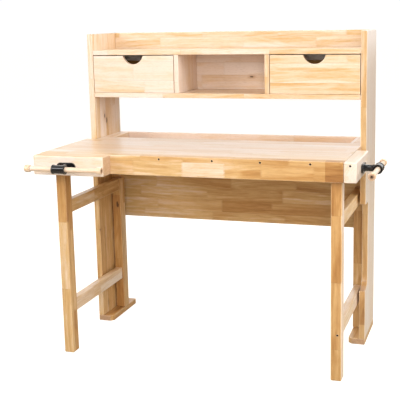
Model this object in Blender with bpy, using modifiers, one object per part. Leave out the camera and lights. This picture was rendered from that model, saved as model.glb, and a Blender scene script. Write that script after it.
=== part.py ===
"""Child's folding-leg workbench with a drawer hutch, a tool tray and two screw vises.

Places are worked out in bench coordinates: X from the left side panel's outer face, Y back
from the side panels' front edges, Z up from the floor. place() moves them so that the part's
origin is on the floor under the middle of the whole object.
"""
import math

import bmesh
import bpy
from mathutils import Matrix, Vector

# Driving dimensions, in metres
WIDTH = 1.000
HEIGHT = 1.068
DEPTH = 0.215
BOARD = 0.020
SHELF = 0.0165
BACK = 0.018
GAP = 0.0003
EDGE = 0.0015

# Feet
FOOT_WIDTH = 0.057
FOOT_CHAMFER = 0.012

# Clearance cut in the right side panel's front edge
NOTCH_LOW = 0.192
NOTCH_HIGH = 0.493
NOTCH_DEPTH = 0.055
NOTCH_LOW_RADIUS = 0.040
NOTCH_HIGH_RADIUS = 0.012

# Bench top
TOP_Z = 0.692
BEAM_LOW = 0.6295
SLAB = 0.018
BEAM = 0.034
TOP_FRONT = -0.339
TOP_LEFT = -0.018
TOP_RIGHT = 0.983
REAR_BEAM = 0.025

# Screw holes
SCREW_HOLE_RADIUS = 0.0035
SCREW_HOLE_DEPTH = 0.009
BEAM_HOLES = (0.398, 0.574, 0.728, 0.883)
BEAM_HOLE_Z = 0.6825
JAW_HOLE = (1.0025, 0.681)
LEG_HOLE = (0.9632, 0.1485)
KNOB_HOLE_RADIUS = 0.003
KNOB_HOLE_DEPTH = 0.004

# Tool tray and rear board
TRAY_RAIL = 0.052
TRAY_FLOOR_LOW = 0.632
TRAY_FLOOR = 0.012
LEDGE = 0.043
REAR_LOW = 0.363

# Hutch
HUTCH_LOW = 0.8435
HUTCH_SHELF_LOW = 0.9935
DRAWER_BAY = 0.3087

# Drawers
DRAWER_FRONT = 0.015
DRAWER_SIDE = 0.010
DRAWER_FLOOR = 0.005
DRAWER_LENGTH = 0.182
DRAWER_CLEAR = 0.0015
DRAWER_TOP_CLEAR = 0.0025
DRAWER_BACK_DROP = 0.025
GRIP_RADIUS = 0.039
GRIP_RISE = 0.009

# Swinging gates
LEG_X = 0.034
LEG_Y = 0.042
LEG_FRONT = -0.3225
POST_FRONT = 0.1055
RAIL_X = 0.026
RAIL_Z = 0.0445
UPPER_RAIL_LOW = 0.4815
LOWER_RAIL_LOW = 0.136
GATE_INSET = 0.004

# Long hinge between a post and a side panel
HINGE_LOW = 0.070
HINGE_LENGTH = 0.400
KNUCKLES = 5
KNUCKLE_RADIUS = 0.0035
PIN_RADIUS = 0.0014
PIN_BORE = 0.0015
LEAF = 0.0015
LEAF_WIDTH = 0.028
KNUCKLE_GAP = 0.0006

# Vises
JAW_LOW = BEAM_LOW
SCREW_Z = 0.658
SCREW_RADIUS = 0.009
SCREW_BORE = 0.0095
SCREW_THREAD = 0.0091
SCREW_TAIL = 0.115
ROD_RADIUS = 0.006
ROD_BORE = 0.0065
ROD_BUSH = 0.0061
ROD_SOCKET = 0.0063
ROD_TAIL = 0.100
ROD_IN_JAW = 0.025
HEAD_OFFSET = 0.049
HEAD_RADIUS = 0.015
HEAD_LENGTH = 0.045
NECK_RADIUS = 0.0115
NECK_BORE = 0.0116
FLANGE = 0.006
FLANGE_HALF = 0.0145
FLANGE_SPAN = 0.066
NUT_PLATE = 0.005
NUT_HALF_HEIGHT = 0.0145
NUT_BOSS = 0.020
NUT_BOSS_RADIUS = 0.0145
HANDLE_SPAN = 0.2654
HANDLE_RADIUS = 0.008
HANDLE_BORE = 0.0085
KNOB_LENGTH = 0.017
KNOB_RADIUS = 0.012

FRONT_SCREW_X = 0.1035
FRONT_JAW_LEFT = -0.0145
FRONT_JAW_RIGHT = 0.232
FRONT_JAW_THICK = 0.055
FRONT_ROD_SPACING = 0.060
FRONT_HANDLE_SHIFT = 0.0138

END_SCREW_Y = -0.225
END_JAW_REAR = -0.101
END_JAW_THICK = 0.0385
END_ROD_SPACING = 0.065
END_HANDLE_SHIFT = -0.019

# Places that several pieces share
INNER = BOARD + GAP
PANEL_LOW = BOARD + GAP
BACK_FRONT = DEPTH - BACK
FRONT_JAW_FACE = TOP_FRONT - GAP - FRONT_JAW_THICK
END_JAW_FACE = TOP_RIGHT + GAP + END_JAW_THICK
FRONT_HEAD_Y = FRONT_JAW_FACE - HEAD_OFFSET
END_HEAD_X = END_JAW_FACE + HEAD_OFFSET
RIGHT_END = END_HEAD_X + HEAD_RADIUS
FRONT_END = FRONT_HEAD_Y - HEAD_RADIUS
ORIGIN = Vector(((TOP_LEFT + RIGHT_END) / 2, (FRONT_END + DEPTH) / 2, 0.0))
HINGE_X = BOARD + GATE_INSET + 0.0001
HINGE_Y = POST_FRONT + LEG_Y + GATE_INSET

COLOURS = {
    "panel_wood": ((0.78, 0.56, 0.33), 0.50, 0.0),
    "top_wood": ((0.84, 0.68, 0.48), 0.45, 0.0),
    "frame_wood": ((0.74, 0.52, 0.30), 0.50, 0.0),
    "drawer_wood": ((0.86, 0.69, 0.46), 0.50, 0.0),
    "plywood": ((0.80, 0.66, 0.46), 0.60, 0.0),
    "handle_wood": ((0.83, 0.68, 0.50), 0.45, 0.0),
    "black_steel": ((0.02, 0.02, 0.02), 0.35, 0.5),
    "bright_steel": ((0.60, 0.60, 0.62), 0.30, 1.0),
}
ROUND_SIDES = 32
SMOOTH_ANGLE = math.radians(35)


def clear_scene():
    """Remove every object of the open file."""
    for obj in list(bpy.data.objects):
        bpy.data.objects.remove(obj, do_unlink=True)


def new_collection(name):
    """Make a collection under the scene's own."""
    collection = bpy.data.collections.new(name)
    bpy.context.scene.collection.children.link(collection)
    return collection


def make_materials():
    """Make one Principled material for each finish."""
    materials = {}
    for name, (colour, roughness, metallic) in COLOURS.items():
        material = bpy.data.materials.new(name)
        material.use_nodes = True
        shader = material.node_tree.nodes["Principled BSDF"]
        shader.inputs["Base Color"].default_value = (*colour, 1.0)
        shader.inputs["Roughness"].default_value = roughness
        shader.inputs["Metallic"].default_value = metallic
        material.diffuse_color = (*colour, 1.0)
        materials[name] = material
    return materials


clear_scene()
PARTS = new_collection("toy_workbench")
CUTTERS = new_collection("cutters")
MATERIALS = make_materials()


def place(point):
    """Turn a point in bench coordinates into one from the part's origin."""
    return Vector(point) - ORIGIN


def add_object(name, mesh, location, material, smooth=False):
    """Link a mesh as a named piece, or as a cutter when it has no material."""
    obj = bpy.data.objects.new(name, mesh)
    obj.location = location
    if material is None:
        CUTTERS.objects.link(obj)
        obj.hide_render = True
        obj.display_type = "WIRE"
    else:
        PARTS.objects.link(obj)
        mesh.materials.append(MATERIALS[material])
    if smooth:
        mesh.shade_smooth()
        mesh.set_sharp_from_angle(angle=SMOOTH_ANGLE)
    return obj


def bevel(obj, width=EDGE, segments=2):
    """Round the sharp edges of a piece."""
    modifier = obj.modifiers.new("rounded_edges", "BEVEL")
    modifier.width = width
    modifier.segments = segments
    modifier.limit_method = "ANGLE"
    modifier.angle_limit = math.radians(40)
    return obj


def boolean(obj, other, operation):
    """Join another shape to a piece, or cut it away."""
    modifier = obj.modifiers.new(operation.lower(), "BOOLEAN")
    modifier.operation = operation
    modifier.solver = "EXACT"
    modifier.object = other
    return obj


def box(name, low, high, material=None, edge=EDGE):
    """A board or block between two corners, with its origin at its middle."""
    low = Vector(low)
    high = Vector(high)
    mesh = bpy.data.meshes.new(name)
    shape = bmesh.new()
    bmesh.ops.create_cube(shape, size=1.0)
    bmesh.ops.scale(shape, vec=high - low, verts=shape.verts)
    shape.to_mesh(mesh)
    shape.free()
    obj = add_object(name, mesh, place((low + high) / 2), material)
    if material is not None and edge > 0:
        bevel(obj, edge)
    return obj


def turn_to(axis):
    """The rotation that turns +Z to the named axis."""
    turns = {"X": Matrix.Rotation(math.pi / 2, 4, "Y"),
             "Y": Matrix.Rotation(-math.pi / 2, 4, "X"),
             "Z": Matrix.Identity(4)}
    return turns[axis]


def rod(name, start, length, radius, axis, material=None):
    """A round bar from start along +X, +Y or +Z."""
    direction = {"X": Vector((1, 0, 0)), "Y": Vector((0, 1, 0)), "Z": Vector((0, 0, 1))}[axis]
    mesh = bpy.data.meshes.new(name)
    shape = bmesh.new()
    bmesh.ops.create_cone(shape, cap_ends=True, segments=ROUND_SIDES,
                          radius1=radius, radius2=radius, depth=length)
    bmesh.ops.transform(shape, matrix=turn_to(axis), verts=shape.verts)
    shape.to_mesh(mesh)
    shape.free()
    middle = Vector(start) + direction * length / 2
    return add_object(name, mesh, place(middle), material, smooth=True)


def arc(centre, radius, start, end, steps):
    """Points of an arc in a plane, with the angles in degrees."""
    points = []
    for step in range(steps + 1):
        angle = math.radians(start + (end - start) * step / steps)
        points.append((centre[0] + radius * math.cos(angle), centre[1] + radius * math.sin(angle)))
    return points


def plate(name, outline, low, thickness, axis, material=None, edge=EDGE):
    """A flat outline with thickness along an axis, from the place `low` on that axis.

    The outline's two numbers are X, Y for axis Z, then Y, Z for axis X, and X, Z for axis Y.
    """
    curve = bpy.data.curves.new(name + "_outline", "CURVE")
    curve.dimensions = "2D"
    curve.fill_mode = "BOTH"
    curve.extrude = thickness / 2
    spline = curve.splines.new("POLY")
    spline.points.add(len(outline) - 1)
    for point, (first, second) in zip(spline.points, outline):
        point.co = (first, second, 0.0, 1.0)
    spline.use_cyclic_u = True
    sketch = bpy.data.objects.new(name + "_outline", curve)
    CUTTERS.objects.link(sketch)
    bpy.context.view_layer.update()
    graph = bpy.context.evaluated_depsgraph_get()
    mesh = bpy.data.meshes.new_from_object(sketch.evaluated_get(graph))
    mesh.name = name
    mesh.materials.clear()
    bpy.data.objects.remove(sketch, do_unlink=True)
    frames = {"X": Matrix(((0, 0, 1, 0), (1, 0, 0, 0), (0, 1, 0, 0), (0, 0, 0, 1))),
              "Y": Matrix(((1, 0, 0, 0), (0, 0, -1, 0), (0, 1, 0, 0), (0, 0, 0, 1))),
              "Z": Matrix.Identity(4)}
    middle = low + thickness / 2
    shift = {"X": Vector((middle, 0, 0)), "Y": Vector((0, middle, 0)), "Z": Vector((0, 0, middle))}
    shape = bmesh.new()
    shape.from_mesh(mesh)
    bmesh.ops.remove_doubles(shape, verts=shape.verts, dist=0.00001)
    bmesh.ops.transform(shape, matrix=frames[axis], verts=shape.verts)
    bmesh.ops.dissolve_limit(shape, angle_limit=math.radians(1), verts=shape.verts, edges=shape.edges)
    bmesh.ops.recalc_face_normals(shape, faces=shape.faces)
    shape.to_mesh(mesh)
    shape.free()
    obj = add_object(name, mesh, place(shift[axis]), material)
    if material is not None and edge > 0:
        bevel(obj, edge)
    return obj


def mirrored(side, low, high):
    """Corners of a box, reflected in the bench's middle plane for the right side."""
    if side == "left":
        return low, high
    return (WIDTH - high[0], *low[1:]), (WIDTH - low[0], *high[1:])


def side_panels():
    """Tall side panels on the foot boards, the right one with its clearance notch."""
    box("side_panel_left", (0, 0, PANEL_LOW), (BOARD, DEPTH, HEIGHT), "panel_wood")
    low_turn = arc((NOTCH_DEPTH - NOTCH_LOW_RADIUS, NOTCH_LOW + NOTCH_LOW_RADIUS),
                   NOTCH_LOW_RADIUS, -90, 0, 8)
    high_turn = arc((NOTCH_DEPTH - NOTCH_HIGH_RADIUS, NOTCH_HIGH - NOTCH_HIGH_RADIUS),
                    NOTCH_HIGH_RADIUS, 0, 90, 5)
    outline = [(0, PANEL_LOW), (0, NOTCH_LOW), *low_turn, *high_turn, (0, NOTCH_HIGH),
               (0, HEIGHT), (DEPTH, HEIGHT), (DEPTH, PANEL_LOW)]
    plate("side_panel_right", outline, WIDTH - BOARD, BOARD, "X", "panel_wood")


def foot_boards():
    """Flat feet under the side panels, chamfered at the inner front corner."""
    outline = [(0, 0), (FOOT_WIDTH - FOOT_CHAMFER, 0), (FOOT_WIDTH, FOOT_CHAMFER),
               (FOOT_WIDTH, DEPTH), (0, DEPTH)]
    plate("foot_board_left", outline, 0, BOARD, "Z", "frame_wood")
    reflected = [(WIDTH - x, y) for x, y in reversed(outline)]
    plate("foot_board_right", reflected, 0, BOARD, "Z", "frame_wood")


def hutch():
    """Shelves, back board and dividers between the side panels' upper ends."""
    left = INNER
    right = WIDTH - INNER
    rear = BACK_FRONT - GAP
    shelf_top = HUTCH_LOW + SHELF
    box("hutch_bottom_shelf", (left, 0, HUTCH_LOW), (right, rear, shelf_top), "panel_wood")
    box("hutch_top_shelf", (left, 0, HUTCH_SHELF_LOW),
        (right, rear, HUTCH_SHELF_LOW + SHELF), "panel_wood")
    box("hutch_back_board", (left, BACK_FRONT, HUTCH_LOW), (right, DEPTH, HEIGHT), "panel_wood")
    for side in ("left", "right"):
        low = (BOARD + DRAWER_BAY, 0, shelf_top + GAP)
        high = (BOARD + DRAWER_BAY + SHELF, rear, HUTCH_SHELF_LOW - GAP)
        box("hutch_divider_" + side, *mirrored(side, low, high), "panel_wood")


def tray_and_rear_board():
    """Tool tray behind the bench top, and the board that braces the side panels."""
    left = INNER
    right = WIDTH - INNER
    rear = BACK_FRONT - GAP
    floor_top = TRAY_FLOOR_LOW + TRAY_FLOOR
    box("rear_board", (left, BACK_FRONT, REAR_LOW), (right, DEPTH, TOP_Z), "panel_wood")
    box("tray_front_rail", (left, GAP, BEAM_LOW), (right, TRAY_RAIL, TOP_Z), "top_wood")
    box("tray_floor", (left, TRAY_RAIL + GAP, TRAY_FLOOR_LOW), (right, rear, floor_top), "plywood")
    for side in ("left", "right"):
        low = (INNER, TRAY_RAIL + GAP, floor_top + GAP)
        high = (INNER + LEDGE, rear, TOP_Z)
        box("tray_ledge_" + side, *mirrored(side, low, high), "top_wood")


def bench_top():
    """Slab with its front beam, end beams and rear beam."""
    slab_front = TOP_FRONT + BEAM + GAP
    under = TOP_Z - SLAB - GAP
    box("bench_slab", (TOP_LEFT, slab_front, TOP_Z - SLAB), (TOP_RIGHT, -GAP, TOP_Z), "top_wood")
    beam = box("front_beam", (TOP_LEFT, TOP_FRONT, BEAM_LOW),
               (TOP_RIGHT, TOP_FRONT + BEAM, TOP_Z), "top_wood")
    for offset, radius in front_bores():
        start = (FRONT_SCREW_X + offset, TOP_FRONT - 0.01, SCREW_Z)
        cut = rod("front_beam_bore", start, BEAM + 0.02, radius, "Y")
        boolean(beam, cut, "DIFFERENCE")
    for hole_x in BEAM_HOLES:
        screw_hole(beam, hole_x, TOP_FRONT, BEAM_HOLE_Z)
    box("end_beam_left", (TOP_LEFT, slab_front, BEAM_LOW), (TOP_LEFT + BEAM, -GAP, under), "top_wood")
    end_beam = box("end_beam_right", (TOP_RIGHT - BEAM, slab_front, BEAM_LOW),
                   (TOP_RIGHT, -GAP, under), "top_wood")
    for offset, radius in end_bores():
        start = (TOP_RIGHT - BEAM - 0.01, END_SCREW_Y + offset, SCREW_Z)
        cut = rod("end_beam_bore", start, BEAM + 0.02, radius, "X")
        boolean(end_beam, cut, "DIFFERENCE")
    box("rear_beam", (TOP_LEFT + BEAM + GAP, -REAR_BEAM - GAP, BEAM_LOW),
        (TOP_RIGHT - BEAM - GAP, -GAP, under), "frame_wood")


def screw_hole(obj, x, face_y, z):
    """Blind hole for a sunk screw, in a face that looks towards -Y."""
    start = (x, face_y - 0.01, z)
    cut = rod("screw_hole", start, 0.01 + SCREW_HOLE_DEPTH, SCREW_HOLE_RADIUS, "Y")
    boolean(obj, cut, "DIFFERENCE")


def front_bores():
    """Places along X and radii of the front vise's three bores."""
    return ((0, SCREW_BORE), (-FRONT_ROD_SPACING, ROD_BORE), (FRONT_ROD_SPACING, ROD_BORE))


def end_bores():
    """Places along Y and radii of the end vise's three bores."""
    return ((0, SCREW_BORE), (-END_ROD_SPACING, ROD_BORE), (END_ROD_SPACING, ROD_BORE))


def drawer(side):
    """Box drawer whose front has a round finger cut-out in its top edge."""
    name = "drawer_" + side
    bay_low = HUTCH_LOW + SHELF + GAP
    bay_high = HUTCH_SHELF_LOW - GAP
    x_low = INNER + DRAWER_CLEAR
    x_high = BOARD + DRAWER_BAY - GAP - DRAWER_CLEAR
    z_low = bay_low + GAP
    z_high = bay_high - DRAWER_TOP_CLEAR
    inside = DRAWER_FRONT + GAP
    centre = (x_low + x_high) / 2
    reach = math.degrees(math.asin(GRIP_RISE / GRIP_RADIUS))
    grip = arc((centre, z_high + GRIP_RISE), GRIP_RADIUS, -reach, -180 + reach, 20)
    outline = [(x_high, z_low), (x_high, z_high), *grip, (x_low, z_high), (x_low, z_low)]
    if side == "right":
        outline = [(WIDTH - x, z) for x, z in reversed(outline)]
    plate(name + "_front", outline, 0, DRAWER_FRONT, "Y", "drawer_wood")
    end = DRAWER_LENGTH
    floor_top = z_low + DRAWER_FLOOR
    parts = {
        "side_outer": ((x_low, inside, floor_top + GAP), (x_low + DRAWER_SIDE, end, z_high)),
        "side_inner": ((x_high - DRAWER_SIDE, inside, floor_top + GAP), (x_high, end, z_high)),
        "back": ((x_low + DRAWER_SIDE + GAP, end - DRAWER_SIDE, floor_top + GAP),
                 (x_high - DRAWER_SIDE - GAP, end, z_high - DRAWER_BACK_DROP)),
        "bottom": ((x_low, inside, z_low), (x_high, end, floor_top)),
    }
    for part, (low, high) in parts.items():
        material = "plywood" if part == "bottom" else "drawer_wood"
        box(name + "_" + part, *mirrored(side, low, high), material, edge=EDGE / 2)


def gate(side):
    """Swinging leg frame: a front leg, a hinged post and two rails between them."""
    name = "gate_" + side
    x_low = BOARD + GATE_INSET
    x_high = x_low + LEG_X
    rail_x = x_low + (LEG_X - RAIL_X) / 2
    leg_rear = LEG_FRONT + LEG_Y
    leg = (x_low, LEG_FRONT, 0), (x_high, leg_rear, BEAM_LOW - GAP)
    post_top = UPPER_RAIL_LOW + RAIL_Z
    post = (x_low, POST_FRONT, PANEL_LOW), (x_high, POST_FRONT + LEG_Y, post_top)
    front_leg = box(name + "_leg", *mirrored(side, *leg), "frame_wood", edge=2 * EDGE)
    if side == "right":
        screw_hole(front_leg, LEG_HOLE[0], LEG_FRONT, LEG_HOLE[1])
    box(name + "_post", *mirrored(side, *post), "frame_wood", edge=2 * EDGE)
    for label, low_z in (("upper", UPPER_RAIL_LOW), ("lower", LOWER_RAIL_LOW)):
        rail = ((rail_x, leg_rear + GAP, low_z),
                (rail_x + RAIL_X, POST_FRONT - GAP, low_z + RAIL_Z))
        box(name + "_" + label + "_rail", *mirrored(side, *rail), "frame_wood", edge=2 * EDGE)


def knuckle_spans(own):
    """Heights of the knuckles that belong to the panel leaf (0) or the gate leaf (1)."""
    pitch = HINGE_LENGTH / KNUCKLES
    spans = []
    for index in range(own, KNUCKLES, 2):
        low = HINGE_LOW + index * pitch + KNUCKLE_GAP / 2
        spans.append((low, pitch - KNUCKLE_GAP))
    return spans


def hinge(side):
    """Two leaves: one on the side panel with the pin, one on the back of the post."""
    axis_x = HINGE_X if side == "left" else WIDTH - HINGE_X
    start = KNUCKLE_RADIUS + 2 * GAP
    tab = start + 0.001
    panel_x = BOARD + GAP
    high_z = HINGE_LOW + HINGE_LENGTH
    leaf = mirrored(side, (panel_x, HINGE_Y + start, HINGE_LOW),
                    (panel_x + LEAF, HINGE_Y + start + LEAF_WIDTH, high_z))
    panel_leaf = box("hinge_" + side + "_panel_leaf", *leaf, "bright_steel", edge=0)
    for low, length in knuckle_spans(0):
        piece = rod("panel_knuckle", (axis_x, HINGE_Y, low), length, KNUCKLE_RADIUS, "Z")
        boolean(panel_leaf, piece, "UNION")
        link = mirrored(side, (panel_x, HINGE_Y, low), (panel_x + LEAF, HINGE_Y + tab, low + length))
        boolean(panel_leaf, box("panel_tab", *link), "UNION")
    pin = rod("hinge_pin", (axis_x, HINGE_Y, HINGE_LOW + 0.001), HINGE_LENGTH - 0.002, PIN_RADIUS, "Z")
    boolean(panel_leaf, pin, "UNION")
    leaf_y = POST_FRONT + LEG_Y + GAP
    leaf = mirrored(side, (HINGE_X + start, leaf_y, HINGE_LOW),
                    (HINGE_X + start + LEAF_WIDTH, leaf_y + LEAF, high_z))
    gate_leaf = box("hinge_" + side + "_gate_leaf", *leaf, "bright_steel", edge=0)
    for low, length in knuckle_spans(1):
        piece = rod("gate_knuckle", (axis_x, HINGE_Y, low), length, KNUCKLE_RADIUS, "Z")
        boolean(gate_leaf, piece, "UNION")
        link = mirrored(side, (HINGE_X, leaf_y, low), (HINGE_X + tab, leaf_y + LEAF, low + length))
        boolean(gate_leaf, box("gate_tab", *link), "UNION")
    bore = rod("hinge_bore", (axis_x, HINGE_Y, HINGE_LOW - 0.01), HINGE_LENGTH + 0.02, PIN_BORE, "Z")
    boolean(gate_leaf, bore, "DIFFERENCE")


def along(direction, offset, across, height=SCREW_Z):
    """A point of a vise: how far out of the bench, and how far along its jaw.

    The front vise ("Y") opens towards -Y and the end vise ("X") towards +X.
    """
    if direction == "Y":
        return (FRONT_SCREW_X + across, TOP_FRONT - offset, height)
    return (TOP_RIGHT + offset, END_SCREW_Y + across, height)


def vise_rod(name, direction, inner, outer, across, radius, material=None):
    """A round bar of a vise between two distances out of the bench."""
    start = along(direction, outer if direction == "Y" else inner, across)
    return rod(name, start, outer - inner, radius, direction, material)


def vise_box(name, direction, inner, outer, across_low, across_high, half_height,
             material=None, edge=EDGE):
    """A block of a vise between two distances out of the bench."""
    first = Vector(along(direction, inner, across_low, SCREW_Z - half_height))
    second = Vector(along(direction, outer, across_high, SCREW_Z + half_height))
    low = [min(pair) for pair in zip(first, second)]
    high = [max(pair) for pair in zip(first, second)]
    return box(name, low, high, material, edge)


def jaw(name, low, high, direction, thickness, spacing):
    """Wooden jaw with a bore for the screw and blind holes for the guide rods."""
    block = box(name + "_jaw", low, high, "top_wood", edge=2 * EDGE)
    bore = vise_rod(name + "_jaw_bore", direction, -0.01, thickness + 0.02, 0, SCREW_BORE)
    boolean(block, bore, "DIFFERENCE")
    for across in (-spacing, spacing):
        hole = vise_rod(name + "_rod_hole", direction, -0.01, ROD_IN_JAW + GAP, across, ROD_SOCKET)
        boolean(block, hole, "DIFFERENCE")
    return block


def flange(name, direction, face):
    """Oval plate that holds the screw's neck to the jaw."""
    reach = FLANGE_SPAN / 2 - FLANGE_HALF
    middle = FRONT_SCREW_X if direction == "Y" else END_SCREW_Y
    outline = [*arc((middle + reach, SCREW_Z), FLANGE_HALF, -90, 90, 10),
               *arc((middle - reach, SCREW_Z), FLANGE_HALF, 90, 270, 10)]
    low = TOP_FRONT - face - GAP - FLANGE if direction == "Y" else TOP_RIGHT + face + GAP
    obj = plate(name + "_flange", outline, low, FLANGE, direction, "black_steel", edge=EDGE / 2)
    bore = vise_rod(name + "_flange_bore", direction, face - 0.01, face + 0.02, 0, NECK_BORE)
    boolean(obj, bore, "DIFFERENCE")


def spindle(name, direction, face):
    """Vise screw with its neck and the cross tube that the handle slides in."""
    cross = "X" if direction == "Y" else "Y"
    head_at = face + HEAD_OFFSET
    screw = vise_rod(name + "_spindle", direction, -BEAM - SCREW_TAIL, face + FLANGE, 0,
                     SCREW_RADIUS, "black_steel")
    neck = vise_rod(name + "_neck", direction, face + 2 * GAP, head_at, 0, NECK_RADIUS)
    boolean(screw, neck, "UNION")
    start = along(direction, head_at, -HEAD_LENGTH / 2)
    boolean(screw, rod(name + "_head", start, HEAD_LENGTH, HEAD_RADIUS, cross), "UNION")
    start = along(direction, head_at, -HEAD_LENGTH)
    boolean(screw, rod(name + "_head_bore", start, 2 * HEAD_LENGTH, HANDLE_BORE, cross), "DIFFERENCE")


def knob_profile():
    """Radius and height of a knob's outline, from the screw hole in its outer end down."""
    half = KNOB_LENGTH / 2
    steps = 12
    sunk = half - KNOB_HOLE_DEPTH
    profile = [(0.0, sunk), (KNOB_HOLE_RADIUS, sunk), (KNOB_HOLE_RADIUS, half)]
    for step in range(steps + 1):
        angle = math.pi / 2 - math.pi * step / steps
        bulge = abs(math.cos(angle)) ** 0.35
        profile.append((KNOB_RADIUS * (0.72 + 0.28 * bulge), half * math.sin(angle)))
    profile.append((0.0, -half))
    return profile


def knob(name, centre, axis, outward):
    """Turned wooden knob on the end of a handle, with its screw hole facing outward."""
    profile = knob_profile()
    mesh = bpy.data.meshes.new(name)
    shape = bmesh.new()
    points = [shape.verts.new((radius, 0, height)) for radius, height in profile]
    for first, second in zip(points, points[1:]):
        shape.edges.new((first, second))
    shape.to_mesh(mesh)
    shape.free()
    obj = add_object(name, mesh, place(centre), "handle_wood")
    turn = turn_to(axis)
    if outward < 0:
        turn = turn @ Matrix.Rotation(math.pi, 4, "X")
    obj.rotation_euler = turn.to_euler()
    screw = obj.modifiers.new("turned", "SCREW")
    screw.axis = "Z"
    screw.steps = ROUND_SIDES
    screw.render_steps = ROUND_SIDES
    screw.use_merge_vertices = True
    screw.merge_threshold = 0.00001
    screw.use_smooth_shade = True
    return obj


def handle(name, direction, face, shift):
    """Sliding bar with a knob at each end."""
    cross = "X" if direction == "Y" else "Y"
    head_at = face + HEAD_OFFSET
    bar_half = HANDLE_SPAN / 2 - KNOB_LENGTH - GAP
    start = along(direction, head_at, shift - bar_half)
    rod(name + "_handle_bar", start, 2 * bar_half, HANDLE_RADIUS, cross, "handle_wood")
    knob_at = (HANDLE_SPAN - KNOB_LENGTH) / 2
    for label, sign in (("a", -1), ("b", 1)):
        centre = along(direction, head_at, shift + sign * knob_at)
        knob(name + "_handle_knob_" + label, centre, cross, sign)


def nut_plate(name, direction, spacing):
    """Steel plate behind the beam, with the threaded boss and the rod bushes."""
    inner = -BEAM - GAP - NUT_PLATE
    edge = spacing + 2 * ROD_RADIUS
    obj = vise_box(name + "_nut_plate", direction, inner, inner + NUT_PLATE, -edge, edge,
                   NUT_HALF_HEIGHT, "black_steel", edge=0)
    boss = vise_rod(name + "_boss", direction, inner - NUT_BOSS, inner + NUT_PLATE / 2, 0,
                    NUT_BOSS_RADIUS)
    boolean(obj, boss, "UNION")
    bores = ((0, SCREW_THREAD), (-spacing, ROD_BUSH), (spacing, ROD_BUSH))
    for across, radius in bores:
        cut = vise_rod(name + "_nut_bore", direction, -BEAM - 0.06, -BEAM + 0.02, across, radius)
        boolean(obj, cut, "DIFFERENCE")


def vise(name, direction, thickness, spacing, low, high, shift):
    """One screw vise: jaw, flange, spindle, guide rods, nut plate and handle."""
    face = GAP + thickness
    block = jaw(name, low, high, direction, face, spacing)
    if direction == "X":
        screw_hole(block, JAW_HOLE[0], TOP_FRONT, JAW_HOLE[1])
    flange(name, direction, face)
    spindle(name, direction, face)
    nut_plate(name, direction, spacing)
    handle(name, direction, face, shift)
    for label, across in (("a", -spacing), ("b", spacing)):
        vise_rod(name + "_guide_rod_" + label, direction, -BEAM - ROD_TAIL, ROD_IN_JAW, across,
                 ROD_RADIUS, "bright_steel")


def build():
    """Make every piece of the bench."""
    side_panels()
    foot_boards()
    hutch()
    tray_and_rear_board()
    bench_top()
    for side in ("left", "right"):
        drawer(side)
        gate(side)
        hinge(side)
    vise("front_vise", "Y", FRONT_JAW_THICK, FRONT_ROD_SPACING,
         (FRONT_JAW_LEFT, FRONT_JAW_FACE, JAW_LOW), (FRONT_JAW_RIGHT, TOP_FRONT - GAP, TOP_Z),
         FRONT_HANDLE_SHIFT)
    vise("end_vise", "X", END_JAW_THICK, END_ROD_SPACING,
         (TOP_RIGHT + GAP, TOP_FRONT, JAW_LOW), (END_JAW_FACE, END_JAW_REAR, TOP_Z),
         END_HANDLE_SHIFT)


build()
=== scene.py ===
"""Looks of the toy workbench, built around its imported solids."""
import math

import bmesh
import bpy
from mathutils import Matrix, Vector


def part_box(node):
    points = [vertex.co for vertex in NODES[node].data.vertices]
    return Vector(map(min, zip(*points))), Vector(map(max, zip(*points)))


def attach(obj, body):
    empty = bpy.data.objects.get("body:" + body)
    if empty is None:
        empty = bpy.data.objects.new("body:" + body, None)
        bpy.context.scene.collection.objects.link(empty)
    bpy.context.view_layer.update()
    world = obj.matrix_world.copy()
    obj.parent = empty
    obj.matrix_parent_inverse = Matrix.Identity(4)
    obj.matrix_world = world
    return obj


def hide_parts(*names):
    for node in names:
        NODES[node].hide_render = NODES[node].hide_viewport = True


# Camera: a little higher than the hutch, in front of the bench and to its right
CAMERA_PLACE = (0.8795, -2.7233, 1.1209)
CAMERA_YAW = 0.30895
CAMERA_PITCH = 0.17252
CAMERA_ROLL = -0.01912
CAMERA_LENS = 78.18
CAMERA_SHIFT = (-0.06, -0.08)

# Strength of the surroundings' light on matt surfaces
WORLD_FILL = 0.42

# Finger joints between staves
FINGER_PITCH = 0.0042
FINGER_LENGTH = 0.008

# Vise screws
SCREW_RADIUS = 0.009
NECK_RADIUS = 0.0115
CROSS_TUBE_LENGTH = 0.045
CROSS_TUBE_BORE = 0.0085
CROSS_TUBE_LIP = 0.005
THREAD_PITCH = 0.005
THREAD_DEPTH = 0.0014
THREAD_END_GAP = 0.004
THREAD_SIDES = 32
RINGS_PER_TURN = 8

# Sunk screws: distances are from the left side panel's outer face, heights from the floor, and
# the seat is how far a screw is let into the bottom of its hole
SUNK_HOLE_DEPTH = 0.009
BEAM_HOLES = (0.398, 0.574, 0.728, 0.883)
BEAM_HOLE_HEIGHT = 0.6825
JAW_HOLE = (1.0025, 0.681)
LEG_HOLE = (0.9632, 0.1485)
KNOB_HOLE_DEPTH = 0.004
SEAT = 0.0002

# Hinges and nut plates
BOARD_GAP = 0.0003
LEAF = 0.0015
LEAF_SCREWS = 5
LEAF_SCREW_INSET = 0.013
NUT_PLATE = 0.005
FLANGE_SCREW_REACH = 0.0235
NUT_SCREW_REACH = 0.030

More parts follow.
